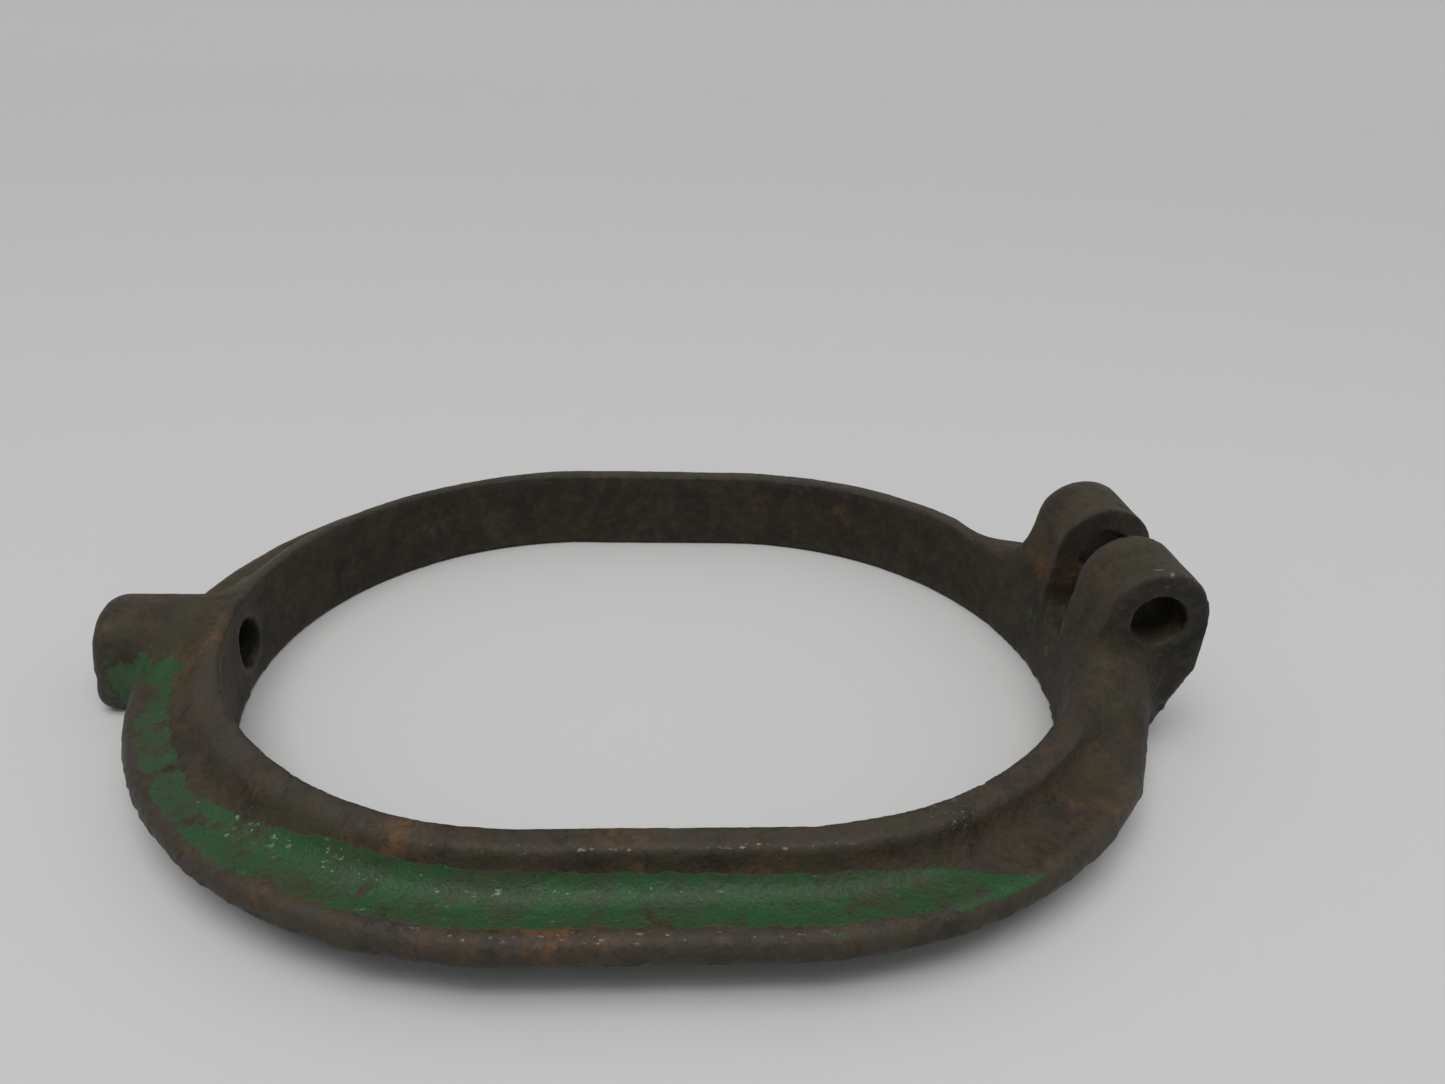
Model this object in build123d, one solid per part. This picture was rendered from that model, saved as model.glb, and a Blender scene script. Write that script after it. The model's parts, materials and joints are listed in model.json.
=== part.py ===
from build123d import *
from math import cos, radians, sin, sqrt
import os

# Oblong lifting ring, cast in one piece. It lies flat, with its opening facing up.
# A swivel boss stands out of the -X end and a two-lug clevis stands up at the +X end.
# The casting is stored as its named regions, which meet face to face.

# Opening: two half circles joined by straight sides
END_RADIUS = 84.5
HALF_STRAIGHT = 24.0

# Ring section: an upright rim with an outer rib at mid height
RING_DEPTH = 25.4
RIM_THICKNESS = 6.5
INNER_EDGE_ROUND = 0.6
OUTER_EDGE_ROUND = 1.8
RIB_REACH = 21.4
RIB_HALF_THICKNESS = 3.3
RIB_EDGE_RADIUS = 3.6
COVE_RADIUS = 5.5

# Swivel boss, along -X, with a round top and a wider flat foot
BOSS_RADIUS = 13.0
BOSS_FOOT_HALF_WIDTH = 14.8
BOSS_FOOT_ROUND = 5.2
BOSS_END_X = -144.0
BOSS_END_ROUND = 4.5
BOSS_BORE_RADIUS = 6.5
BOSS_ROOT_HALF_WIDTH = 27.0
BOSS_ROOT_FILLET = 9.0
BOSS_WEB_INSET = 1.0
BOSS_WEB_CORNER_INSET = 2.0
BOSS_WEB_WALL_INSET = 5.0
BOSS_INTO_WALL = 4.0

# Clevis, with its pin axis along Y
PIN_X = 122.8
PIN_Z = 38.0
LUG_RADIUS = 13.1
PIN_HOLE_RADIUS = 6.7
CLEVIS_WIDTH = 57.0
SLOT_WIDTH = 14.5
SLOT_FLOOR_Z = 20.3
LUG_EDGE_ROUND = 1.6
OUTER_SLANT_TOP_Z = 24.0
OUTER_SLANT_INSET = 10.4
ROOT_REACH = 15.0
ROOT_TOP_Z = 30.9
ROOT_STEP = 0.8
ROOT_INSET = 3.0
BASE_REACH_INWARD = 40.0

# Shoulder that fills the cove beside the clevis
SHOULDER_ANGLE = 42.0
SHOULDER_RAMP_LENGTH = 34.0
SHOULDER_TOP_DROP = 0.6
SHOULDER_WALL_INSET = 1.0
SHOULDER_BEAD_ANGLE = 50.0
SHOULDER_FULL_REACH = 4.0
SHOULDER_HALF_END = 2.0

# Derived places
MID_Z = RING_DEPTH / 2
BOSS_AXIS_Z = BOSS_RADIUS
INNER_END_X = HALF_STRAIGHT + END_RADIUS
CLEVIS_HALF = CLEVIS_WIDTH / 2
CLEVIS_OUTER_X = PIN_X + LUG_RADIUS
BEAD_CENTRE = RIB_REACH - RIB_EDGE_RADIUS
BEAD_START = BEAD_CENTRE - sqrt(RIB_EDGE_RADIUS ** 2 - RIB_HALF_THICKNESS ** 2)
CENTRE_OFFSET = -(BOSS_END_X + CLEVIS_OUTER_X) / 2
FAR = 400.0


def arc_point(centre, radius, degrees):
    """Point of a circle in the section plane, as (reach, height)."""
    turn = radians(degrees)
    return (centre[0] + radius * cos(turn), centre[1] + radius * sin(turn))


def cove(side):
    """Start, middle and end of a cove, from the rim to the rib. side is 1 above and -1 below."""
    centre = (RIM_THICKNESS + COVE_RADIUS, MID_Z + side * (RIB_HALF_THICKNESS + COVE_RADIUS))
    return [arc_point(centre, COVE_RADIUS, -side * turn) for turn in (180, 135, 90)]


def ring_section():
    """T-shaped section of the ring, with reach along local X and height along local Y."""
    upper, lower = cove(1), cove(-1)
    bead_top = (BEAD_START, MID_Z + RIB_HALF_THICKNESS)
    bead_bottom = (BEAD_START, MID_Z - RIB_HALF_THICKNESS)
    with BuildSketch() as sketch:
        with BuildLine():
            Polyline(lower[0], (RIM_THICKNESS, 0), (0, 0), (0, RING_DEPTH),
                     (RIM_THICKNESS, RING_DEPTH), upper[0])
            ThreePointArc(*upper)
            Line(upper[2], bead_top)
            ThreePointArc(bead_top, (RIB_REACH, MID_Z), bead_bottom)
            Line(bead_bottom, lower[2])
            ThreePointArc(*lower[::-1])
        make_face()
        corners = sketch.vertices().filter_by(lambda v: v.Y < 0.01 or v.Y > RING_DEPTH - 0.01)
        fillet(corners.filter_by(lambda v: v.X < 0.01), INNER_EDGE_ROUND)
        corners = sketch.vertices().filter_by(lambda v: v.Y < 0.01 or v.Y > RING_DEPTH - 0.01)
        fillet(corners.filter_by(lambda v: v.X > RIM_THICKNESS - 0.01), OUTER_EDGE_ROUND)
    return sketch.sketch


def shoulder_section():
    """Section that fills both coves with a straight slope from the rim to the rib's edge."""
    top = RING_DEPTH - SHOULDER_TOP_DROP
    outer = arc_point((BEAD_CENTRE, MID_Z), RIB_EDGE_RADIUS, SHOULDER_BEAD_ANGLE)
    with BuildSketch() as sketch:
        with BuildLine():
            Polyline((SHOULDER_WALL_INSET, RING_DEPTH - top), (SHOULDER_WALL_INSET, top),
                     (RIM_THICKNESS - OUTER_EDGE_ROUND, top), outer,
                     (outer[0], RING_DEPTH - outer[1]),
                     (RIM_THICKNESS - OUTER_EDGE_ROUND, RING_DEPTH - top), close=True)
        make_face()
    return sketch.sketch


def end_turn(section, end, start_angle, sweep_angle):
    """Turn a section about an end circle's upright axis. end is 1 for +X and -1 for -X."""
    plane = Plane(origin=(0, 0, 0), x_dir=(1, 0, 0), z_dir=(0, -1, 0))
    upright = plane * Pos(END_RADIUS, 0, 0) * section
    turned = revolve(upright, Axis.Z, sweep_angle)
    return Pos(end * HALF_STRAIGHT, 0, 0) * Rot(0, 0, start_angle) * turned


def straight_side(section, side):
    """Straight side of the ring. side is 1 for +Y and -1 for -Y."""
    plane = Plane(origin=(0, 0, 0), x_dir=(0, 1, 0), z_dir=(1, 0, 0))
    run = extrude(plane * Pos(END_RADIUS, 0, 0) * section, amount=2 * HALF_STRAIGHT)
    run = Pos(-HALF_STRAIGHT, 0, 0) * run
    return run if side > 0 else run.mirror(Plane.XZ)


def slab(x_range, y_range, z_range):
    """Box between two limits on each axis."""
    size = [high - low for low, high in (x_range, y_range, z_range)]
    middle = [(high + low) / 2 for low, high in (x_range, y_range, z_range)]
    return Pos(*middle) * Box(*size)


def upright_cylinder(radius, x, low, high):
    """Vertical cylinder on the ring's long axis."""
    return Pos(x, 0, (low + high) / 2) * Cylinder(radius, high - low)


def boss_root_web():
    """Mid-height web whose curved sides run from the rib's edge out to the boss."""
    rib_radius = END_RADIUS + RIB_REACH - BOSS_WEB_INSET
    web_height = 2 * RIB_HALF_THICKNESS
    corner_y = BOSS_RADIUS + BOSS_ROOT_FILLET - BOSS_WEB_CORNER_INSET
    corner_x = -HALF_STRAIGHT - sqrt((rib_radius + BOSS_ROOT_FILLET) ** 2 - corner_y ** 2)
    block = slab((corner_x, -INNER_END_X - BOSS_WEB_WALL_INSET), (-corner_y, corner_y),
                 (MID_Z - web_height / 2, MID_Z + web_height / 2))
    scoop = Cylinder(BOSS_ROOT_FILLET, RING_DEPTH)
    block -= Pos(corner_x, corner_y, MID_Z) * scoop
    block -= Pos(corner_x, -corner_y, MID_Z) * scoop
    keep = upright_cylinder(rib_radius, -HALF_STRAIGHT, 0, RING_DEPTH)
    side_strips = slab((corner_x, -INNER_END_X), (-corner_y, corner_y), (0, RING_DEPTH))
    return block & (keep + side_strips)


def boss_barrel():
    """Boss from its rounded end to the ring: a round top that widens into a flat foot."""
    foot_y = BOSS_FOOT_HALF_WIDTH - BOSS_FOOT_ROUND
    with BuildSketch(Plane.YZ) as sketch:
        with Locations((0, BOSS_AXIS_Z)):
            Circle(BOSS_RADIUS)
        with Locations((-foot_y, BOSS_FOOT_ROUND), (foot_y, BOSS_FOOT_ROUND)):
            Circle(BOSS_FOOT_ROUND)
        make_hull()
    barrel = extrude(sketch.sketch, amount=-BOSS_END_X - INNER_END_X + BOSS_INTO_WALL)
    barrel = fillet(barrel.faces().sort_by(Axis.X)[0].edges(), BOSS_END_ROUND)
    return Pos(BOSS_END_X, 0, 0) * barrel


def swivel_boss(ring):
    """Boss with its through bore, and the stretch of ring that it grows from."""
    limit = BOSS_ROOT_HALF_WIDTH
    bore = Rot(0, 90, 0) * Cylinder(BOSS_BORE_RADIUS, FAR)
    bore = Pos(-FAR / 2, 0, BOSS_AXIS_Z) * bore
    opening = upright_cylinder(END_RADIUS, -HALF_STRAIGHT, -1, FAR)
    root = ring & slab((-FAR, 0), (-limit, limit), (-1, FAR))
    return (root - bore) + (boss_root_web() - bore) + (boss_barrel() - opening - bore)


def clevis_outline():
    """Side outline of the clevis below the pin, from the inner wall to the outer slant."""
    foot_x = CLEVIS_OUTER_X - OUTER_SLANT_INSET
    inner_x = INNER_END_X - BASE_REACH_INWARD
    with BuildSketch(Plane.XZ) as sketch:
        with BuildLine():
            Polyline((inner_x, 0), (foot_x, 0), (CLEVIS_OUTER_X, OUTER_SLANT_TOP_Z),
                     (CLEVIS_OUTER_X, RING_DEPTH), (inner_x, RING_DEPTH), close=True)
        make_face()
    return sketch.sketch


def clevis_neck():
    """Neck that blends from the curved inner wall to the straight lugs below the pin."""
    wall_x = HALF_STRAIGHT + sqrt(END_RADIUS ** 2 - CLEVIS_HALF ** 2)
    with BuildSketch(Plane.XY.offset(RING_DEPTH)) as lower:
        with BuildLine():
            Polyline((wall_x, CLEVIS_HALF), (CLEVIS_OUTER_X, CLEVIS_HALF),
                     (CLEVIS_OUTER_X, -CLEVIS_HALF), (wall_x, -CLEVIS_HALF))
            ThreePointArc((wall_x, -CLEVIS_HALF), (INNER_END_X, 0), (wall_x, CLEVIS_HALF))
        make_face()
    with BuildSketch(Plane.XY.offset(PIN_Z)) as upper:
        with Locations((PIN_X, 0)):
            Rectangle(2 * LUG_RADIUS, CLEVIS_WIDTH)
    return loft([lower.sketch.face(), upper.sketch.face()], ruled=True)


def clevis_block():
    """Whole clevis as one block, with the slot and the pin hole cut."""
    base = extrude(clevis_outline(), amount=CLEVIS_HALF, both=True)
    base -= upright_cylinder(END_RADIUS, HALF_STRAIGHT, -1, FAR)
    cap = Pos(PIN_X, 0, PIN_Z) * Rot(90, 0, 0) * Cylinder(LUG_RADIUS, CLEVIS_WIDTH)
    cap = fillet(cap.edges().filter_by(GeomType.CIRCLE), LUG_EDGE_ROUND)
    cap &= slab((0, FAR), (-FAR, FAR), (PIN_Z, FAR))
    block = base + clevis_neck() + cap
    half_slot = SLOT_WIDTH / 2
    block -= slab((0, FAR), (-half_slot, half_slot), (SLOT_FLOOR_Z, FAR))
    block -= Pos(PIN_X, 0, PIN_Z) * Rot(90, 0, 0) * Cylinder(PIN_HOLE_RADIUS, FAR)
    return block


def lug_root(side):
    """Concave root outside a lug, below the pin's path. side is 1 for +Y and -1 for -Y."""
    far = CLEVIS_HALF + ROOT_REACH
    drop = ROOT_TOP_Z - RING_DEPTH + SHOULDER_TOP_DROP
    with BuildSketch(Plane.YZ) as sketch:
        with BuildLine():
            EllipticalCenterArc((far, ROOT_TOP_Z), ROOT_REACH, drop, start_angle=180, arc_size=90)
            Polyline((far, ROOT_TOP_Z - drop), (far, MID_Z), (CLEVIS_HALF, MID_Z),
                     (CLEVIS_HALF, ROOT_TOP_Z))
        make_face()
    root = extrude(sketch.sketch, amount=CLEVIS_OUTER_X - ROOT_INSET)
    root &= upright_cylinder(END_RADIUS + RIB_REACH - ROOT_INSET, HALF_STRAIGHT, 0, FAR)
    root -= upright_cylinder(END_RADIUS + ROOT_STEP, HALF_STRAIGHT, 0, FAR)
    return root if side > 0 else root.mirror(Plane.XZ)


def shoulder(side):
    """Filled section beside the clevis, ramping down into the open coves."""
    start = 0 if side > 0 else -SHOULDER_ANGLE
    filled = end_turn(shoulder_section(), 1, start, SHOULDER_ANGLE)
    full_to = CLEVIS_HALF + SHOULDER_FULL_REACH
    ramp_far = CLEVIS_HALF + SHOULDER_RAMP_LENGTH
    with BuildSketch(Plane.YZ) as sketch:
        with BuildLine():
            Polyline((0, 0), (full_to, 0), (ramp_far, MID_Z - SHOULDER_HALF_END),
                     (ramp_far, MID_Z + SHOULDER_HALF_END), (full_to, RING_DEPTH),
                     (0, RING_DEPTH), close=True)
        make_face()
    wedge = extrude(sketch.sketch, amount=FAR)
    if side < 0:
        wedge = wedge.mirror(Plane.XZ)
    return filled & wedge


def bend(ring, end, side):
    """One bend of the ring, between a straight side and the boss or the clevis."""
    limit = BOSS_ROOT_HALF_WIDTH if end < 0 else CLEVIS_HALF
    x_range = (HALF_STRAIGHT, FAR) if end > 0 else (-FAR, -HALF_STRAIGHT)
    y_range = (limit, FAR) if side > 0 else (-FAR, -limit)
    quarter = slab(x_range, y_range, (-1, FAR))
    body = ring & quarter
    if end > 0:
        body += (shoulder(side) + lug_root(side)) & quarter
    return body


def build_parts():
    """Every region of the casting, by name."""
    section = ring_section()
    left_end = end_turn(section, -1, 90, 180)
    right_end = end_turn(section, 1, -90, 180)
    clevis = clevis_block()
    lugs = clevis & slab((0, FAR), (-FAR, FAR), (SLOT_FLOOR_Z, FAR))
    parts = {
        "swivel_boss": swivel_boss(left_end),
        "ring_front_side": straight_side(section, -1),
        "ring_back_side": straight_side(section, 1),
        "clevis_base": clevis & slab((0, FAR), (-FAR, FAR), (-1, SLOT_FLOOR_Z)),
        "clevis_lug_front": lugs & slab((0, FAR), (-FAR, 0), (0, FAR)),
        "clevis_lug_back": lugs & slab((0, FAR), (0, FAR), (0, FAR)),
    }
    for side, side_name in ((-1, "front"), (1, "back")):
        parts[f"ring_{side_name}_boss_bend"] = bend(left_end, -1, side)
        parts[f"ring_{side_name}_clevis_bend"] = bend(right_end, 1, side)
    return parts


os.makedirs("parts", exist_ok=True)
for name, shape in build_parts().items():
    export_step(Pos(CENTRE_OFFSET, 0, 0) * shape, f"parts/{name}.step")
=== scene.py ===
import json
import math

import bpy
import numpy as np
from mathutils import Matrix, Vector, noise


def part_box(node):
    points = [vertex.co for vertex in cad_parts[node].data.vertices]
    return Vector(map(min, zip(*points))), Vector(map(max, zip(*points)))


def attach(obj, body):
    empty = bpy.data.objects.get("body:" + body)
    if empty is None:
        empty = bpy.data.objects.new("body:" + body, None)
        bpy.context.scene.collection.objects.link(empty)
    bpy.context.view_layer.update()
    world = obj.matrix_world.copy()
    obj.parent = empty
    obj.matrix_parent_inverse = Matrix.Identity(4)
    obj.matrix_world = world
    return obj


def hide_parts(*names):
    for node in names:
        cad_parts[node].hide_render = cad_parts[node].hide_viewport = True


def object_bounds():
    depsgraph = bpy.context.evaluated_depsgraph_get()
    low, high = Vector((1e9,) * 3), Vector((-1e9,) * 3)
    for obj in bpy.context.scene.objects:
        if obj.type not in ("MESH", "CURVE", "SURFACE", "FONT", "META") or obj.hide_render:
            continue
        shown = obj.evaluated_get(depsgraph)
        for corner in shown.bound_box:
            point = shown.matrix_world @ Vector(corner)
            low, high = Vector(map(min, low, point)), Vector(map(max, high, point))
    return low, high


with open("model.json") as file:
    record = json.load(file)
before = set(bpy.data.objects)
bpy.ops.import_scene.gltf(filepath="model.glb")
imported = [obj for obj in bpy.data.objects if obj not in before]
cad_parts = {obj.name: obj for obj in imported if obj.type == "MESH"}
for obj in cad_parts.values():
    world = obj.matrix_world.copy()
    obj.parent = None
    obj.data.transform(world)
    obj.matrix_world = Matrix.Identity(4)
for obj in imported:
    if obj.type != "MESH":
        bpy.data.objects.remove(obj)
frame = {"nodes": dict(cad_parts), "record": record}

CAD_LOW, CAD_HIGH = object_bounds()
MM = 0.001

# ---------------------------------------------------------------- places taken from the frame
SIDE_LOW, SIDE_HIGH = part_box("ring_front_side")
RING_CENTRE_X = (SIDE_LOW.x + SIDE_HIGH.x) / 2
HALF_STRAIGHT = (SIDE_HIGH.x - SIDE_LOW.x) / 2
END_RADIUS = -SIDE_HIGH.y
RIB_REACH = -SIDE_LOW.y - END_RADIUS
RING_DEPTH = SIDE_HIGH.z
MID_Z = RING_DEPTH / 2
RING_LEFT_X = RING_CENTRE_X - HALF_STRAIGHT - END_RADIUS
LUG_LOW, LUG_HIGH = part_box("clevis_lug_front")
CLEVIS_SIDE = -LUG_LOW.y
SLOT_HALF = -LUG_HIGH.y
SLOT_FLOOR_Z = LUG_LOW.z
MOUNTS = {mount["name"]: mount for mount in frame["record"]["mounts"]}
PIN_PLACE = Vector(MOUNTS["clevis_pin"]["pos_m"])
PIN_HOLE_RADIUS = MOUNTS["clevis_pin"]["dims"]["r_mm"] * MM
BOSS_BORE_PLACE = Vector(MOUNTS["swivel_bore"]["pos_m"])
BOSS_BORE_RADIUS = MOUNTS["swivel_bore"]["dims"]["r_mm"] * MM

# ---------------------------------------------------------------- mesh work on the casting
COARSE_VOXEL = 0.9 * MM
FINE_VOXEL = 0.75 * MM
CAST_FILLET = 3.0 * MM
FILL_ROUNDS = 4
FILL_REPEATS = 45
EASE_REPEATS = 110
CURVATURE_REPEATS = 28

# Unevenness of a hand-made pattern and of the sand that it was cast in
RIB_LEAN = 1.5 * MM
RIM_SAG = 0.35 * MM
BROAD_RISE = 0.16 * MM
GRAIN_RISE = 0.075 * MM
PIT_DEPTH = 0.26 * MM
FLASH_RISE = 0.35 * MM

# ---------------------------------------------------------------- where paint, rust and wear lie
# Paint left in the upper cove: where it starts and ends across the section, in mm from the rim's
# inner top edge, at angles in degrees about the ring's centre (-90 is the front, -180 the boss)
PAINT_ANGLES = (-180, -160, -148, -138, -127, -97, -66, -56, -48)
PAINT_STARTS = (20, 20, 21, 16, 10.5, 12, 13.5, 18, 30)
PAINT_ENDS = (30, 29.5, 29.5, 28.5, 27, 26.2, 26.6, 30, 30)
PAINT_SHARES = (0.74, 0.74, 0.68, 0.74, 0.86, 1.0, 1.0, 0.95, 0.8)

# Small remains and losses of paint: place in mm from the ring's centre, radius in mm, share
PAINT_TRACES = (
    ((131, -27, 17), 8, 0.36),
    ((117, -28, 28), 8, 0.34),
    ((131, -28, 40), 5, 0.26),
    ((103, -76, 12), 5, 0.30),
    ((108, 0, 9), 8, 0.46),
    ((108, 12, 15), 4, 0.40),
    ((105, -20, 10), 8, 0.33),
    ((-85, 50, 14), 26, 0.20),
    ((1, -99, 15), 3, -0.35),
    ((64.5, -95, 15), 2.2, -0.60),
    ((56, -99, 15), 3, -0.35),
    ((49, -100, 15), 3, -0.25),
    ((-54, -94, 16), 4, -0.18),
)

# Paint on the boss, fresh rust, and bright knocks, of which the three in the front cove at the left are
# painted glints: place in mm from the ring's centre, radius in mm
BOSS_PAINT = (
    ((-130, -16, 7), 11),
    ((-120, -19, 13), 8),
)
RUST_SPOTS = (
    ((100, -68, 17), 7),
    ((70, -86, 17), 6),
    ((-52, -88, 25), 10),
    ((-8, -88, 25), 9),
    ((-20, -103, 14), 8),
    ((-112, -20, 22), 8),
    ((112, 18, 30), 8),
)
KNOCKS_AND_GLINTS = (
    ((61, -85, 25), 5),
    ((109, -52, 22), 3),
    ((-82, -73, 17), 4),
    ((-74, -79, 17), 4),
    ((-63, -84, 17), 4),
    ((108, -1, 7), 6),
    ((124, -27, 50), 5),
)

# Lines of painted glints along the rim's edge, the cove and the bead, where a lamp's highlight falls:
# distance across the section from the rim's inner top edge and half width, in mm
PAINTED_GLINT_LINES = ((6.2, 1.2), (17.6, 1.1), (28.4, 1.4))

# ---------------------------------------------------------------- camera
CAMERA_PLACE = Vector((RING_CENTRE_X + 0.1 * MM, -239.3 * MM, 167.6 * MM))
CAMERA_HEADING = math.radians(4.0)
CAMERA_PITCH = math.radians(27.2)
CAMERA_ROLL = math.radians(2.3)
CAMERA_LENS = 25.8


# ---------------------------------------------------------------- mesh helpers
def mesh_from_arrays(name, places, faces):
    """New mesh from vertex places and face lists."""
    mesh = bpy.data.meshes.new(name)
    mesh.from_pydata(places.tolist(), [], faces)
    mesh.update()
    return mesh


def vertex_places(mesh):
    """Vertex places as an array of rows."""
    places = np.empty(len(mesh.vertices) * 3, np.float32)
    mesh.vertices.foreach_get("co", places)
    return places.reshape(-1, 3).astype(float)


def vertex_normals(mesh):
    """Vertex normals as an array of rows."""
    normals = np.empty(len(mesh.vertices) * 3, np.float32)
    mesh.vertex_normals.foreach_get("vector", normals)
    return normals.reshape(-1, 3).astype(float)


def set_vertex_places(mesh, places):
    """Writes an array of rows back as the vertex places."""
    mesh.vertices.foreach_set("co", places.astype(np.float32).ravel())
    mesh.update()


def set_attribute(mesh, name, values):
    """Stores one number per vertex under a name that materials can read."""
    layer = mesh.attributes.new(name, "FLOAT", "POINT")
    layer.data.foreach_set("value", values.astype(np.float32))


def smoothstep(values, low, high):
    """Smooth 0 to 1 ramp between two limits."""
    ramp = np.clip((values - low) / (high - low), 0, 1)
    return ramp * ramp * (3 - 2 * ramp)


def join_meshes(sources):
    """One mesh object that holds copies of several meshes."""
    places, faces, start = [], [], 0
    for source in sources:
        places.append(vertex_places(source))
        faces += [[start + index for index in polygon.vertices] for polygon in source.polygons]
        start += len(source.vertices)
    joined = bpy.data.objects.new("casting", mesh_from_arrays("casting", np.vstack(places), faces))
    bpy.context.scene.collection.objects.link(joined)
    return joined


def apply_modifiers(piece):
    """Replaces the piece's mesh with its evaluated mesh."""
    bpy.context.view_layer.update()
    depsgraph = bpy.context.evaluated_depsgraph_get()
    mesh = bpy.data.meshes.new_from_object(piece.evaluated_get(depsgraph), depsgraph=depsgraph)
    piece.modifiers.clear()
    piece.data = mesh


def rebuild_by_voxels(piece, voxel):
    """Rebuilds the piece as one closed skin of even quads."""
    remesh = piece.modifiers.new("remesh", "REMESH")
    remesh.mode = "VOXEL"
    remesh.voxel_size = voxel
    apply_modifiers(piece)


def smooth_skin(piece, factor, repeats):
    """Evens out the skin, which also rounds its edges slightly."""
    smooth = piece.modifiers.new("smooth", "SMOOTH")
    smooth.factor = factor
    smooth.iterations = repeats
    apply_modifiers(piece)


def offset_skin(piece, distance):
    """Moves every vertex along its normal."""
    mesh = piece.data
    set_vertex_places(mesh, vertex_places(mesh) + distance * vertex_normals(mesh))


def ring_reach(places):
    """Distance outward from the ring's inner wall, for each place."""
    along = np.maximum(np.abs(places[:, 0] - RING_CENTRE_X) - HALF_STRAIGHT, 0)
    return np.hypot(along, places[:, 1]) - END_RADIUS


def fractal(places, size, octaves, seed):
    """Fractal noise around zero, with features of the given size."""
    shift = Vector((seed * 7.31, seed * 3.17, seed * 5.77))
    values = [noise.fractal(Vector(place) + shift, 1.0, 2.0, octaves) for place in places / size]
    return np.array(values)


def blob(places, centre, radius):
    """Soft round spot: 1 at its centre and 0 beyond twice its radius."""
    return 1 - smoothstep(np.linalg.norm(places - np.array(centre), axis=1), 0.3 * radius, 2 * radius)


def from_ring_centre(x_mm, y_mm, z_mm):
    """Place given in mm from the ring's centre, in metres in the frame."""
    return (RING_CENTRE_X + x_mm * MM, y_mm * MM, z_mm * MM)


def neighbour_means(mesh, places):
    """Mean place of every vertex's neighbours."""
    edges = np.empty(len(mesh.edges) * 2, np.int32)
    mesh.edges.foreach_get("vertices", edges)
    start, end = edges.reshape(-1, 2).T
    total = len(places)
    count = np.bincount(edges, minlength=total)
    sums = [np.bincount(start, places[end, axis], total) + np.bincount(end, places[start, axis], total)
            for axis in range(3)]
    return np.stack(sums, axis=1) / count[:, None]


def fill_hollows(piece, strength, repeats):
    """Raises concave places only, so that inside corners fill and outside edges stay."""
    mesh = piece.data
    for _ in range(repeats):
        places = vertex_places(mesh)
        normals = vertex_normals(mesh)
        lift = ((neighbour_means(mesh, places) - places) * normals).sum(axis=1)
        rise = strength * np.maximum(lift, 0)
        set_vertex_places(mesh, places + rise[:, None] * normals)


def relax(piece, shares, repeats):
    """Evens out the skin where the share is above zero, on edges and in hollows alike."""
    mesh = piece.data
    places = vertex_places(mesh)
    for _ in range(repeats):
        places = places + 0.8 * shares[:, None] * (neighbour_means(mesh, places) - places)
    set_vertex_places(mesh, places)


def bore_clearance(places):
    """Distance outside the pin hole at the clevis end, and outside the boss bore at the other."""
    pin_gap = np.hypot(places[:, 0] - PIN_PLACE.x, places[:, 2] - PIN_PLACE.z) - PIN_HOLE_RADIUS
    bore_gap = np.hypot(places[:, 1], places[:, 2] - BOSS_BORE_PLACE.z) - BOSS_BORE_RADIUS
    return np.where(places[:, 0] > RING_CENTRE_X, pin_gap, bore_gap)


def slot_clearance(places):
    """Distance outside the clevis slot's side planes, and a full metre below its floor."""
    return np.where(places[:, 2] > SLOT_FLOOR_Z - MM, np.abs(places[:, 1]) - SLOT_HALF, 1)


def leftward_share(places, share_of_radius):
    """0 up to the left end of the straight sides, then up to 1 at this share of the end's radius."""
    leftward = RING_CENTRE_X - places[:, 0]
    return smoothstep(leftward, HALF_STRAIGHT, HALF_STRAIGHT + share_of_radius * END_RADIUS)


def eased_share(places):
    """1 on the lugs' outer roots and the soft outer edge of the rim's boss end."""
    sideways = np.abs(places[:, 1])
    mirrored = np.stack([places[:, 0], sideways, places[:, 2]], axis=1)
    root_place = (PIN_PLACE.x - 9 * MM, CLEVIS_SIDE + 11 * MM, RING_DEPTH - 3 * MM)
    step_place = (PIN_PLACE.x - 19 * MM, CLEVIS_SIDE + 2 * MM, RING_DEPTH + 2 * MM)
    root = blob(mirrored, root_place, 13 * MM)
    inner_step = blob(mirrored, step_place, 8 * MM)
    clear = smoothstep(bore_clearance(places), 1.5 * MM, 5 * MM)
    clear *= smoothstep(slot_clearance(places), 3 * MM, 9 * MM)
    reach = ring_reach(places)
    on_rim_side = smoothstep(reach, 2.5 * MM, 5 * MM) * (1 - smoothstep(reach, 10 * MM, 14 * MM))
    on_rim_side *= leftward_share(places, 0.6)
    return np.maximum(np.maximum(root, inner_step) * clear, 0.45 * on_rim_side)


def root_share(places):
    """1 where the clevis and the boss grow out of the ring, 0 on the bores, slot and open ring."""
    clevis_root = blob(places, (PIN_PLACE.x - 6 * MM, 0, RING_DEPTH), 27 * MM)
    boss_root = blob(places, (RING_LEFT_X - 12 * MM, 0, MID_Z), 17 * MM)
    soft_left_end = 0.4 * blob(places, (RING_LEFT_X - 2 * MM, 0, MID_Z), 44 * MM)
    boss_root = np.maximum(boss_root, soft_left_end)
    on_clevis = places[:, 0] > RING_CENTRE_X
    clear = np.minimum(bore_clearance(places), np.where(on_clevis, slot_clearance(places), 1))
    return np.maximum(clevis_root, boss_root) * smoothstep(clear, 1.0 * MM, 4.0 * MM)


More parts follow.
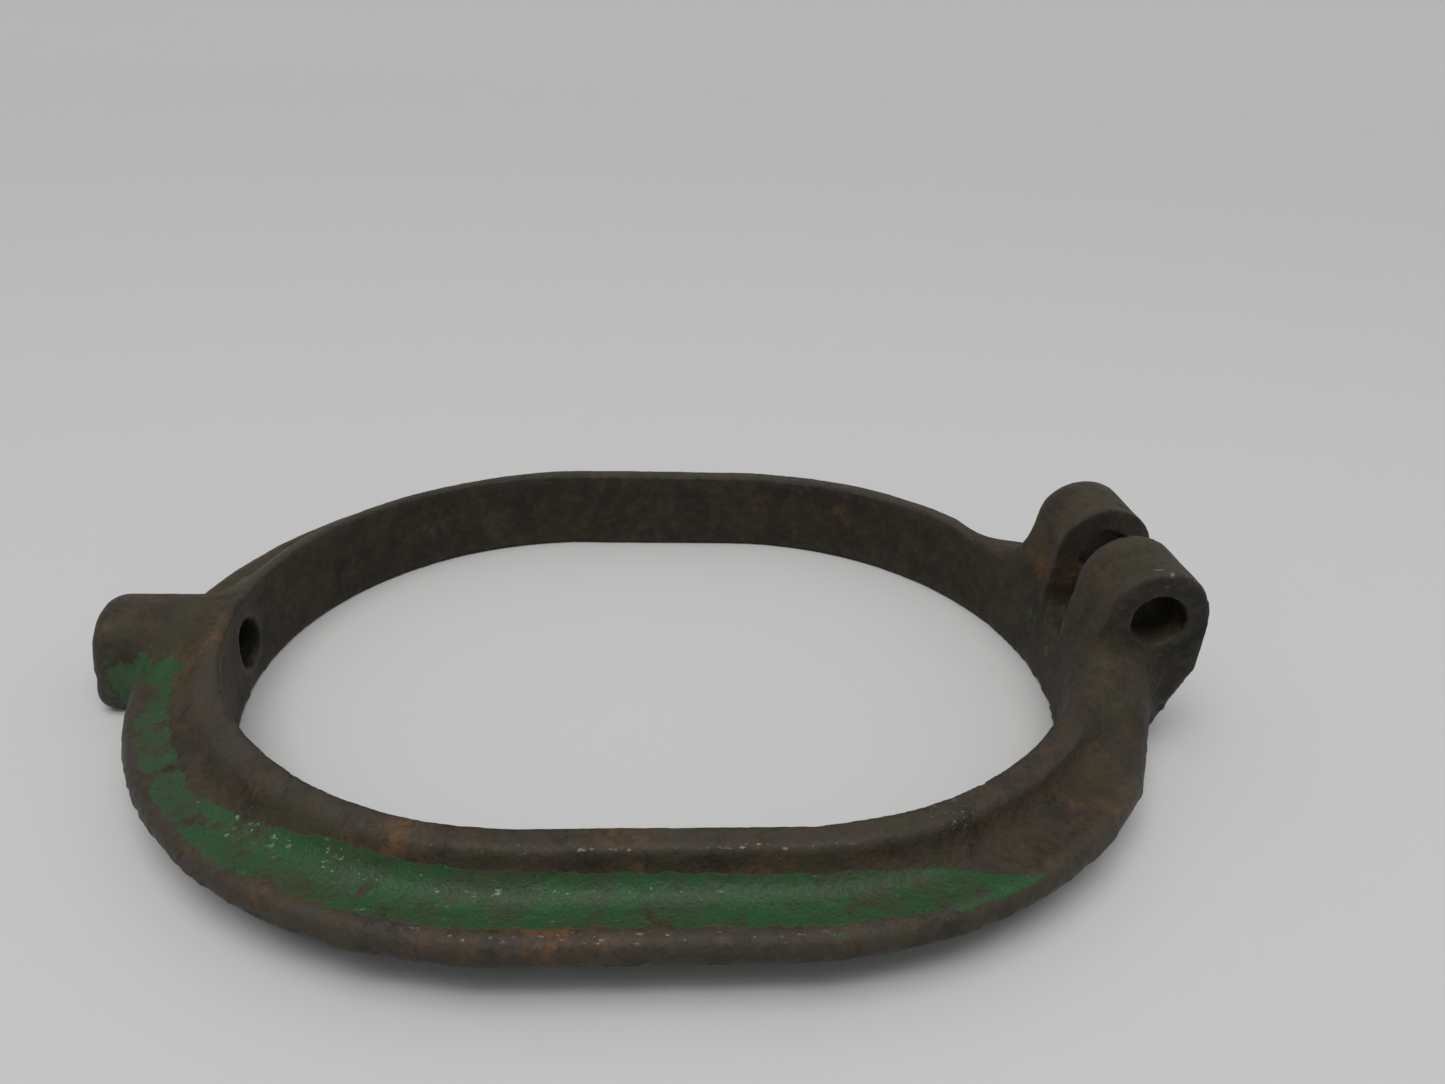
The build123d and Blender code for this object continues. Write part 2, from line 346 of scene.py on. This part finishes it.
def cast_blends(sharp):
    """Fills the inside corners with cast fillets and merges the regions into one skin.

    A copy is swollen and shrunk back, which closes its inside corners. It is then joined to the
    sharp original, which keeps the outside edges, bores and slot as crisp as they were.
    """
    filled = sharp.copy()
    bpy.context.scene.collection.objects.link(filled)
    rebuild_by_voxels(filled, COARSE_VOXEL)
    offset_skin(filled, CAST_FILLET)
    rebuild_by_voxels(filled, COARSE_VOXEL)
    offset_skin(filled, -CAST_FILLET)
    rebuild_by_voxels(filled, COARSE_VOXEL)
    smooth_skin(filled, 0.5, 3)
    for _ in range(FILL_ROUNDS):
        fill_hollows(filled, 0.9 * root_share(vertex_places(filled.data)), FILL_REPEATS)
    piece = join_meshes([sharp.data, filled.data])
    bpy.data.objects.remove(filled)
    bpy.data.objects.remove(sharp)
    rebuild_by_voxels(piece, FINE_VOXEL)
    smooth_skin(piece, 0.5, 3)
    relax(piece, eased_share(vertex_places(piece.data)), EASE_REPEATS)
    piece.name = "casting"
    return piece


def hand_made_unevenness(piece):
    """Leans and sags that a hand-made pattern leaves: nothing is quite symmetric."""
    places = vertex_places(piece.data)
    outward = smoothstep(ring_reach(places), 7 * MM, 20 * MM)
    leftward = leftward_share(places, 0.7)
    off_boss = smoothstep(np.abs(places[:, 1]), 13 * MM, 24 * MM)
    places[:, 0] -= RIB_LEAN * outward * leftward * off_boss
    inside_rim = 1 - smoothstep(ring_reach(places), 7 * MM, 12 * MM)
    places[:, 2] += RIM_SAG * fractal(places, 38 * MM, 2, 4) * inside_rim * places[:, 2] / RING_DEPTH
    set_vertex_places(piece.data, places)


def sand_cast_surface(piece):
    """Broad unevenness, sand grain, pits and the ragged parting line along the rib's edge."""
    mesh = piece.data
    places = vertex_places(mesh)
    normals = vertex_normals(mesh)
    broad = BROAD_RISE * fractal(places, 15 * MM, 3, 1)
    grain = GRAIN_RISE * fractal(places, 2.6 * MM, 3, 2)
    pits = -PIT_DEPTH * smoothstep(fractal(places, 3.6 * MM, 2, 3), 0.42, 0.85)
    at_parting = 1 - smoothstep(np.abs(places[:, 2] - MID_Z + 0.8 * MM), 0.3 * MM, 1.1 * MM)
    at_edge = smoothstep(ring_reach(places), RIB_REACH - 2.2 * MM, RIB_REACH - 0.6 * MM)
    ragged = smoothstep(fractal(places, 7 * MM, 3, 5), -0.25, 0.35)
    flash = FLASH_RISE * at_parting * at_edge * ragged
    rise = broad + grain + pits + flash
    places += rise[:, None] * normals
    set_vertex_places(mesh, np.clip(places, np.array(CAD_LOW), np.array(CAD_HIGH)))


def curvature(piece):
    """Depth below the smoothed surface, in mm: above zero in hollows, below zero on edges."""
    mesh = piece.data
    places = vertex_places(mesh)
    smoothed = places
    for _ in range(CURVATURE_REPEATS):
        smoothed = neighbour_means(mesh, smoothed)
    return ((smoothed - places) * vertex_normals(mesh)).sum(axis=1) / MM


def across_section(places, upper):
    """Distance out and down from the rim's inner top edge, or out and up from the lower one."""
    drop = RING_DEPTH - places[:, 2] if upper else places[:, 2]
    return (ring_reach(places) + drop) / MM


def angle_about_ring(places):
    """Angle about the ring's centre, in degrees: -90 at the front and 180 at the boss."""
    return np.degrees(np.arctan2(places[:, 1], places[:, 0] - RING_CENTRE_X))


def spots(places, rows):
    """Sum of soft round spots, each given by its place and its radius."""
    return sum(blob(places, from_ring_centre(*place), radius * MM) for place, radius in rows)


def front_paint(places, angle, across):
    """Band of paint along the upper cove, on the front side and the boss end."""
    start = np.interp(angle, PAINT_ANGLES, PAINT_STARTS)
    end = np.interp(angle, PAINT_ANGLES, PAINT_ENDS)
    band = smoothstep(across, start - 1.6, start + 1.6) * (1 - smoothstep(across, end - 1.4, end + 1.4))
    band *= (angle < PAINT_ANGLES[-1]) * (places[:, 2] > MID_Z - 1 * MM)
    return band * np.interp(angle, PAINT_ANGLES, PAINT_SHARES)


def other_paint(places, angle, across):
    """Broken remains of paint in the back's cove and in the lower cove all round."""
    back_across = np.where(places[:, 2] > MID_Z, across, across_section(places, False))
    band = smoothstep(back_across, 11, 15) * (1 - smoothstep(back_across, 24, 29))
    return band * ((angle > 0) | (places[:, 2] < MID_Z)) * smoothstep(np.abs(angle), 30, 50)


def paint_left(places):
    """Share of green paint left: 1 where it is whole, around 0.5 where it is broken."""
    angle = angle_about_ring(places)
    across = across_section(places, True)
    on_ring = smoothstep(ring_reach(places), 4.5 * MM, 7 * MM)
    on_boss = smoothstep(RING_LEFT_X - 11 * MM - places[:, 0], 0, 6 * MM)
    ring_paint = np.maximum(front_paint(places, angle, across), 0.56 * other_paint(places, angle, across))
    ring_paint = ring_paint * on_ring * (1 - on_boss)
    boss_spots = [blob(places, from_ring_centre(*place), radius * MM) for place, radius in BOSS_PAINT]
    boss_paint = 0.85 * np.max(boss_spots, axis=0)
    traces = sum(share * blob(places, from_ring_centre(*place), radius * MM)
                 for place, radius, share in PAINT_TRACES)
    on_bead = smoothstep(across, 26.5, 28.5) * (1 - smoothstep(across, 33, 36))
    traces += 0.31 * on_bead * smoothstep(-np.abs(angle + 98), -56, -40)
    return np.maximum(ring_paint, boss_paint) + traces


def painted_shade_share(places, normals):
    """Share of painted shade: bores, slot, inner wall, lug faces, the bead's edge and faces that look
    down.
    """
    x, y, z = places.T
    reach = ring_reach(places)
    in_bore = 1 - smoothstep(bore_clearance(places), 0.2 * MM, 1.2 * MM)
    in_bore *= 1 - 0.8 * smoothstep(normals[:, 2], 0.1, 0.7) * (x > RING_CENTRE_X)
    in_slot = 1 - smoothstep(slot_clearance(places), 0.3 * MM, 1.2 * MM)
    in_slot *= (x > RING_CENTRE_X) & (z > SLOT_FLOOR_Z - 2 * MM)
    on_inner_wall = 0.28 + 0.14 * smoothstep(y, 20 * MM, 60 * MM)
    on_inner_wall *= 1 - smoothstep(reach, 0.4 * MM, 1.6 * MM)
    on_lug_face = 0.72 * smoothstep(np.abs(y), CLEVIS_SIDE - 1.5 * MM, CLEVIS_SIDE - 0.5 * MM)
    on_lug_face *= smoothstep(x, PIN_PLACE.x - 20 * MM, PIN_PLACE.x - 8 * MM)
    on_lug_face *= 1 - np.abs(normals[:, 2])
    looking_down = 0.7 * smoothstep(-normals[:, 2], -0.1, 0.5)
    on_bead_face = 0.4 * smoothstep(reach, RIB_REACH - 2.2 * MM, RIB_REACH - 0.6 * MM)
    on_bead_face *= 1 - np.maximum(normals[:, 2], 0)
    sources = [0.8 * in_bore, 0.4 * in_slot, on_inner_wall, on_lug_face, on_bead_face, looking_down]
    return np.max(np.stack(sources), axis=0)


def painted_glint_lines(places):
    """Share of painted glints along the front's three lines: the rim's edge, the cove and the bead."""
    across = across_section(places, True)
    on_lines = sum(np.exp(-((across - middle) / width) ** 2) for middle, width in PAINTED_GLINT_LINES)
    on_front = smoothstep(-np.abs(angle_about_ring(places) + 94), -36, -16) * (places[:, 2] > MID_Z)
    return on_lines * on_front * smoothstep(ring_reach(places), 3 * MM, 5 * MM)


def scrapes_and_painted_glints(places):
    """Share of bright scrapes and painted glints: knocks, and the painted glint lines along the front."""
    return np.minimum(0.8 * spots(places, KNOCKS_AND_GLINTS) + 0.75 * painted_glint_lines(places), 1)


def make_casting():
    """The whole casting as one continuous skin."""
    nodes = sorted(frame["nodes"])
    piece = cast_blends(join_meshes([frame["nodes"][name].data for name in nodes]))
    hand_made_unevenness(piece)
    bends = curvature(piece)
    sand_cast_surface(piece)
    places = vertex_places(piece.data)
    set_attribute(piece.data, "hollow", smoothstep(bends, 0.03, 0.45))
    set_attribute(piece.data, "worn", smoothstep(-bends, 0.05, 0.55))
    set_attribute(piece.data, "paint", paint_left(places))
    set_attribute(piece.data, "rust", spots(places, RUST_SPOTS))
    # Painted shade for the material: bores, slot, inner wall, lug faces, the bead's edge and faces that
    # look down
    set_attribute(piece.data, "painted_shade", painted_shade_share(places, vertex_normals(piece.data)))
    # Share of bright knocks and of painted glints along the front's lines
    set_attribute(piece.data, "scrape_and_glint", scrapes_and_painted_glints(places))
    piece.data.shade_smooth()
    piece.data.materials.append(iron_material())
    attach(piece, "root")
    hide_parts(*nodes)


# ---------------------------------------------------------------- shading helpers
def add_node(tree, kind, inputs, **settings):
    """Adds a node, sets its properties, and fills its inputs with values or links."""
    node = tree.nodes.new(kind)
    for name, value in settings.items():
        setattr(node, name, value)
    for name, value in inputs.items():
        if isinstance(value, bpy.types.NodeSocket):
            tree.links.new(value, node.inputs[name])
        else:
            node.inputs[name].default_value = value
    return node


def attribute(tree, name):
    """Number stored on the mesh under this name."""
    return add_node(tree, "ShaderNodeAttribute", {}, attribute_name=name).outputs["Fac"]


def speckle(tree, size_mm, detail=4.0, roughness=0.6, stretch=(1, 1, 1), shift=0.0):
    """Noise with features of this size in mm."""
    place = add_node(tree, "ShaderNodeTexCoord", {}).outputs["Object"]
    scale = [axis / (size_mm * MM) for axis in stretch]
    inputs = {"Vector": place, "Location": (shift, 2 * shift, -shift), "Scale": scale}
    place = add_node(tree, "ShaderNodeMapping", inputs).outputs["Vector"]
    inputs = {"Vector": place, "Scale": 1.0, "Detail": detail, "Roughness": roughness}
    return add_node(tree, "ShaderNodeTexNoise", inputs).outputs["Fac"]


def ramp(tree, value, low, high):
    """Smooth 0 to 1 ramp between two limits."""
    inputs = {"Value": value, "From Min": low, "From Max": high}
    node = add_node(tree, "ShaderNodeMapRange", inputs, interpolation_type="SMOOTHSTEP")
    return node.outputs["Result"]


def calc(tree, operation, first, second):
    """One operation on two values."""
    node = tree.nodes.new("ShaderNodeMath")
    node.operation = operation
    for socket, value in zip(node.inputs, (first, second)):
        if isinstance(value, bpy.types.NodeSocket):
            tree.links.new(value, socket)
        else:
            socket.default_value = value
    return node.outputs[0]


def times(tree, first, second):
    """Product of two values."""
    return calc(tree, "MULTIPLY", first, second)


def plus(tree, first, second):
    """Sum of two values."""
    return calc(tree, "ADD", first, second)


def blend(tree, share, first, second):
    """Colour between two colours."""
    node = add_node(tree, "ShaderNodeMix", {}, data_type="RGBA")
    for socket, value in zip((node.inputs[0], node.inputs[6], node.inputs[7]), (share, first, second)):
        if isinstance(value, bpy.types.NodeSocket):
            tree.links.new(value, socket)
        elif isinstance(value, tuple):
            socket.default_value = (*value, 1)
        else:
            socket.default_value = value
    return node.outputs[2]


# ---------------------------------------------------------------- iron, rust and paint
# The first colour is the dark colour of the painted shade
PAINTED_SHADE_COLOUR = (0.0085, 0.0080, 0.0060)
DARK_IRON = (0.0165, 0.0140, 0.0100)
BROWN_IRON = (0.074, 0.052, 0.026)
OLIVE_IRON = (0.056, 0.050, 0.021)
GREY_IRON = (0.058, 0.046, 0.038)
PURPLE_IRON = (0.056, 0.040, 0.036)
ORANGE_RUST = (0.165, 0.080, 0.026)
# Pale scale flakes and painted glints on the iron
PALE_SCALE_AND_GLINT = (0.24, 0.23, 0.21)
GREEN_PAINT = (0.023, 0.086, 0.027)
DULL_PAINT = (0.036, 0.067, 0.028)
STAINED_PAINT = (0.050, 0.048, 0.022)
# Pale scrapes and painted glints on the paint
PALE_PAINT_AND_GLINT = (0.29, 0.37, 0.23)

# Scrapes and painted glints are longer along the ring's length
ALONG_X = (0.45, 1, 1)


def iron_colour(tree):
    """Rusted iron: brown body, grey worn edges, orange patches, pale specks with painted glints, hollows
    darkened by dirt and painted shade, and painted shade where the light reaches less.
    """
    mottle = ramp(tree, speckle(tree, 9, 5, 0.62), 0.38, 0.62)
    grain = ramp(tree, speckle(tree, 1.3, 5, 0.8, shift=3.0), 0.36, 0.64)
    tone = plus(tree, times(tree, mottle, 0.50), times(tree, grain, 0.50))
    colour = blend(tree, tone, DARK_IRON, BROWN_IRON)
    olive = ramp(tree, speckle(tree, 16, 3, 0.55, shift=13.0), 0.42, 0.64)
    colour = blend(tree, times(tree, olive, 0.55), colour, OLIVE_IRON)
    purple = ramp(tree, speckle(tree, 13, 4, 0.6, shift=15.0), 0.48, 0.62)
    colour = blend(tree, times(tree, purple, 0.4), colour, PURPLE_IRON)
    bare = ramp(tree, speckle(tree, 3.4, 4, 0.7, shift=7.0), 0.36, 0.62)
    worn = times(tree, attribute(tree, "worn"), bare)
    colour = blend(tree, times(tree, worn, 0.65), colour, GREY_IRON)
    orange = times(tree, attribute(tree, "rust"), 0.16)
    orange = plus(tree, speckle(tree, 12, 5, 0.65, shift=11.0), orange)
    crumbs = ramp(tree, speckle(tree, 1.8, 3, 0.7, shift=5.0), 0.3, 0.66)
    orange = times(tree, ramp(tree, orange, 0.55, 0.80), crumbs)
    colour = blend(tree, times(tree, orange, 0.8), colour, ORANGE_RUST)
    # Pale specks on worn edges and along the glint lines: partly flakes of scale, partly painted glints
    specks = times(tree, attribute(tree, "scrape_and_glint"), 0.15)
    specks = plus(tree, speckle(tree, 1.0, 3, 0.65, stretch=ALONG_X, shift=17.0), specks)
    worn_and_glinting = plus(tree, attribute(tree, "worn"), attribute(tree, "scrape_and_glint"))
    specks = times(tree, ramp(tree, specks, 0.69, 0.80), worn_and_glinting)
    colour = blend(tree, times(tree, specks, 0.7), colour, PALE_SCALE_AND_GLINT)
    scabs = ramp(tree, speckle(tree, 3.6, 6, 0.75, shift=19.0), 0.54, 0.66)
    colour = blend(tree, times(tree, scabs, 0.5), colour, DARK_IRON)
    # Hollows go darker: dirt, and painted shade where less light reaches
    grime_and_painted_shade = times(tree, attribute(tree, "hollow"), 0.06)
    colour = blend(tree, grime_and_painted_shade, colour, DARK_IRON)
    # Painted shade, broken up by noise: bores, slot, inner wall, lug faces, the bead's edge and faces
    # that look down go dark
    patchy = plus(tree, ramp(tree, speckle(tree, 5, 5, 0.7, shift=29.0), 0.34, 0.62), 0.45)
    return blend(tree, times(tree, attribute(tree, "painted_shade"), patchy), colour, PAINTED_SHADE_COLOUR)


def paint_colour(tree):
    """Old green paint with dull areas, dirt specks, and pale scrapes and painted glints along the ring.
    """
    dull = ramp(tree, speckle(tree, 7, 4, 0.65, shift=21.0), 0.38, 0.66)
    colour = blend(tree, dull, GREEN_PAINT, DULL_PAINT)
    stain = ramp(tree, speckle(tree, 11, 6, 0.7, shift=25.0), 0.50, 0.68)
    colour = blend(tree, times(tree, stain, 0.75), colour, STAINED_PAINT)
    dirt = ramp(tree, speckle(tree, 1.5, 4, 0.75, shift=23.0), 0.55, 0.74)
    colour = blend(tree, times(tree, dirt, 0.6), colour, DARK_IRON)
    # Pale marks on the paint: scrapes, and painted glints along the glint lines
    scrape_and_glint = times(tree, attribute(tree, "scrape_and_glint"), 0.15)
    scrape_and_glint = plus(tree, speckle(tree, 1.1, 3, 0.7, stretch=ALONG_X, shift=27.0), scrape_and_glint)
    return blend(tree, times(tree, ramp(tree, scrape_and_glint, 0.67, 0.78), 0.7), colour, PALE_PAINT_AND_GLINT)


def paint_cover(tree):
    """1 where paint still covers the iron, with a ragged chipped border."""
    ragged = times(tree, calc(tree, "SUBTRACT", speckle(tree, 6, 6, 0.68, shift=31.0), 0.5), 1.7)
    chips = times(tree, calc(tree, "SUBTRACT", speckle(tree, 1.7, 4, 0.7, shift=37.0), 0.5), 0.75)
    cover = plus(tree, attribute(tree, "paint"), plus(tree, ragged, chips))
    return ramp(tree, cover, 0.50, 0.74)


def surface_roughness(tree, cover):
    """Satin paint and dull uneven iron, smoother where it is worn."""
    uneven = speckle(tree, 2.4, 4, 0.7, shift=41.0)
    iron_rough = plus(tree, times(tree, uneven, 0.5), 0.42)
    iron_rough = calc(tree, "SUBTRACT", iron_rough, times(tree, attribute(tree, "worn"), 0.16))
    paint_rough = plus(tree, times(tree, uneven, 0.4), 0.14)
    rough = add_node(tree, "ShaderNodeMix", {}, data_type="FLOAT")
    tree.links.new(cover, rough.inputs[0])
    tree.links.new(iron_rough, rough.inputs[2])
    tree.links.new(paint_rough, rough.inputs[3])
    return rough.outputs[0]


def surface_bump(tree, cover):
    """Fine sand grain, coarser lumps and the thickness of the paint."""
    grain = times(tree, speckle(tree, 0.9, 4, 0.65, shift=43.0), 0.30)
    lumps = times(tree, speckle(tree, 3.0, 3, 0.6, shift=47.0), 0.35)
    height = plus(tree, plus(tree, grain, lumps), times(tree, cover, 0.10))
    bump = add_node(tree, "ShaderNodeBump", {"Height": height, "Strength": 0.9, "Distance": 1.0 * MM})
    return bump.outputs["Normal"]


def iron_material():
    """Rusted sand-cast iron with the remains of green paint."""
    material = bpy.data.materials.new("weathered_iron")
    material.use_nodes = True
    tree = material.node_tree
    shader = tree.nodes["Principled BSDF"]
    shader.inputs["Specular IOR Level"].default_value = 0.3
    cover = paint_cover(tree)
    colour = blend(tree, cover, iron_colour(tree), paint_colour(tree))
    tree.links.new(colour, shader.inputs["Base Color"])
    tree.links.new(surface_roughness(tree, cover), shader.inputs["Roughness"])
    tree.links.new(surface_bump(tree, cover), shader.inputs["Normal"])
    return material


# ---------------------------------------------------------------- camera, lights and floor
def make_camera():
    """Camera in front of the ring, looking down across it."""
    data = bpy.data.cameras.new("camera")
    data.lens = CAMERA_LENS
    data.sensor_width = 36
    data.clip_start = 0.01
    camera = bpy.data.objects.new("camera", data)
    bpy.context.scene.collection.objects.link(camera)
    turn = Matrix.Rotation(-CAMERA_HEADING, 4, "Z") @ Matrix.Rotation(math.pi / 2 - CAMERA_PITCH, 4, "X")
    roll = Matrix.Rotation(CAMERA_ROLL, 4, "Z")
    camera.matrix_world = Matrix.Translation(CAMERA_PLACE) @ turn @ roll
    bpy.context.scene.camera = camera


def make_sun(strength, tilt, heading, spread):
    """Broad soft light from above: tilt from straight down and heading, in degrees."""
    data = bpy.data.lights.new("ceiling_light", "SUN")
    data.energy = strength
    data.angle = math.radians(spread)
    data.color = (1.0, 0.985, 0.96)
    light = bpy.data.objects.new("ceiling_light", data)
    bpy.context.scene.collection.objects.link(light)
    light.rotation_euler = (math.radians(tilt), 0, math.radians(heading))


def make_strip_light(place, length, width, energy):
    """Long narrow lamp above the front that draws the glints along the cove."""
    data = bpy.data.lights.new("strip_light", "AREA")
    data.shape = "RECTANGLE"
    data.size = length
    data.size_y = width
    data.energy = energy
    light = bpy.data.objects.new("strip_light", data)
    bpy.context.scene.collection.objects.link(light)
    light.location = place


def make_world(strength):
    """Even pale surroundings."""
    world = bpy.data.worlds.new("surroundings")
    world.use_nodes = True
    background = world.node_tree.nodes["Background"]
    background.inputs["Color"].default_value = (0.94, 0.97, 1.0, 1)
    background.inputs["Strength"].default_value = strength
    bpy.context.scene.world = world


def make_floor():
    """Pale round floor that sweeps up into a low wall on all sides."""
    flat_radius, sweep, wall_top, turns, steps = 3.0, 2.0, 4.0, 96, 12
    profile = [(0.0, 0.0)]
    for step in range(steps + 1):
        turn = math.pi / 2 * step / steps
        profile.append((flat_radius + sweep * math.sin(turn), sweep * (1 - math.cos(turn))))
    profile.append((flat_radius + sweep, wall_top))
    angles = [2 * math.pi * index / turns for index in range(turns)]
    places = np.array([(radius * math.cos(angle), radius * math.sin(angle), height)
                       for radius, height in profile for angle in angles])
    faces = [[row * turns + index, row * turns + (index + 1) % turns,
              (row + 1) * turns + (index + 1) % turns, (row + 1) * turns + index]
             for row in range(len(profile) - 1) for index in range(turns)]
    floor = bpy.data.objects.new("floor", mesh_from_arrays("floor", places, faces))
    bpy.context.scene.collection.objects.link(floor)
    floor.data.shade_smooth()
    material = bpy.data.materials.new("pale_floor")
    material.use_nodes = True
    shader = material.node_tree.nodes["Principled BSDF"]
    shader.inputs["Base Color"].default_value = (0.70, 0.70, 0.695, 1)
    shader.inputs["Roughness"].default_value = 0.8
    shader.inputs["Specular IOR Level"].default_value = 0.2
    floor.data.materials.append(material)


make_casting()
make_floor()
make_world(strength=0.40)
make_sun(strength=1.0, tilt=12, heading=-25, spread=45)
make_strip_light(place=(0, -0.45, 1.0), length=1.1, width=0.2, energy=2.0)
make_camera()
bpy.context.scene.view_settings.view_transform = "Standard"
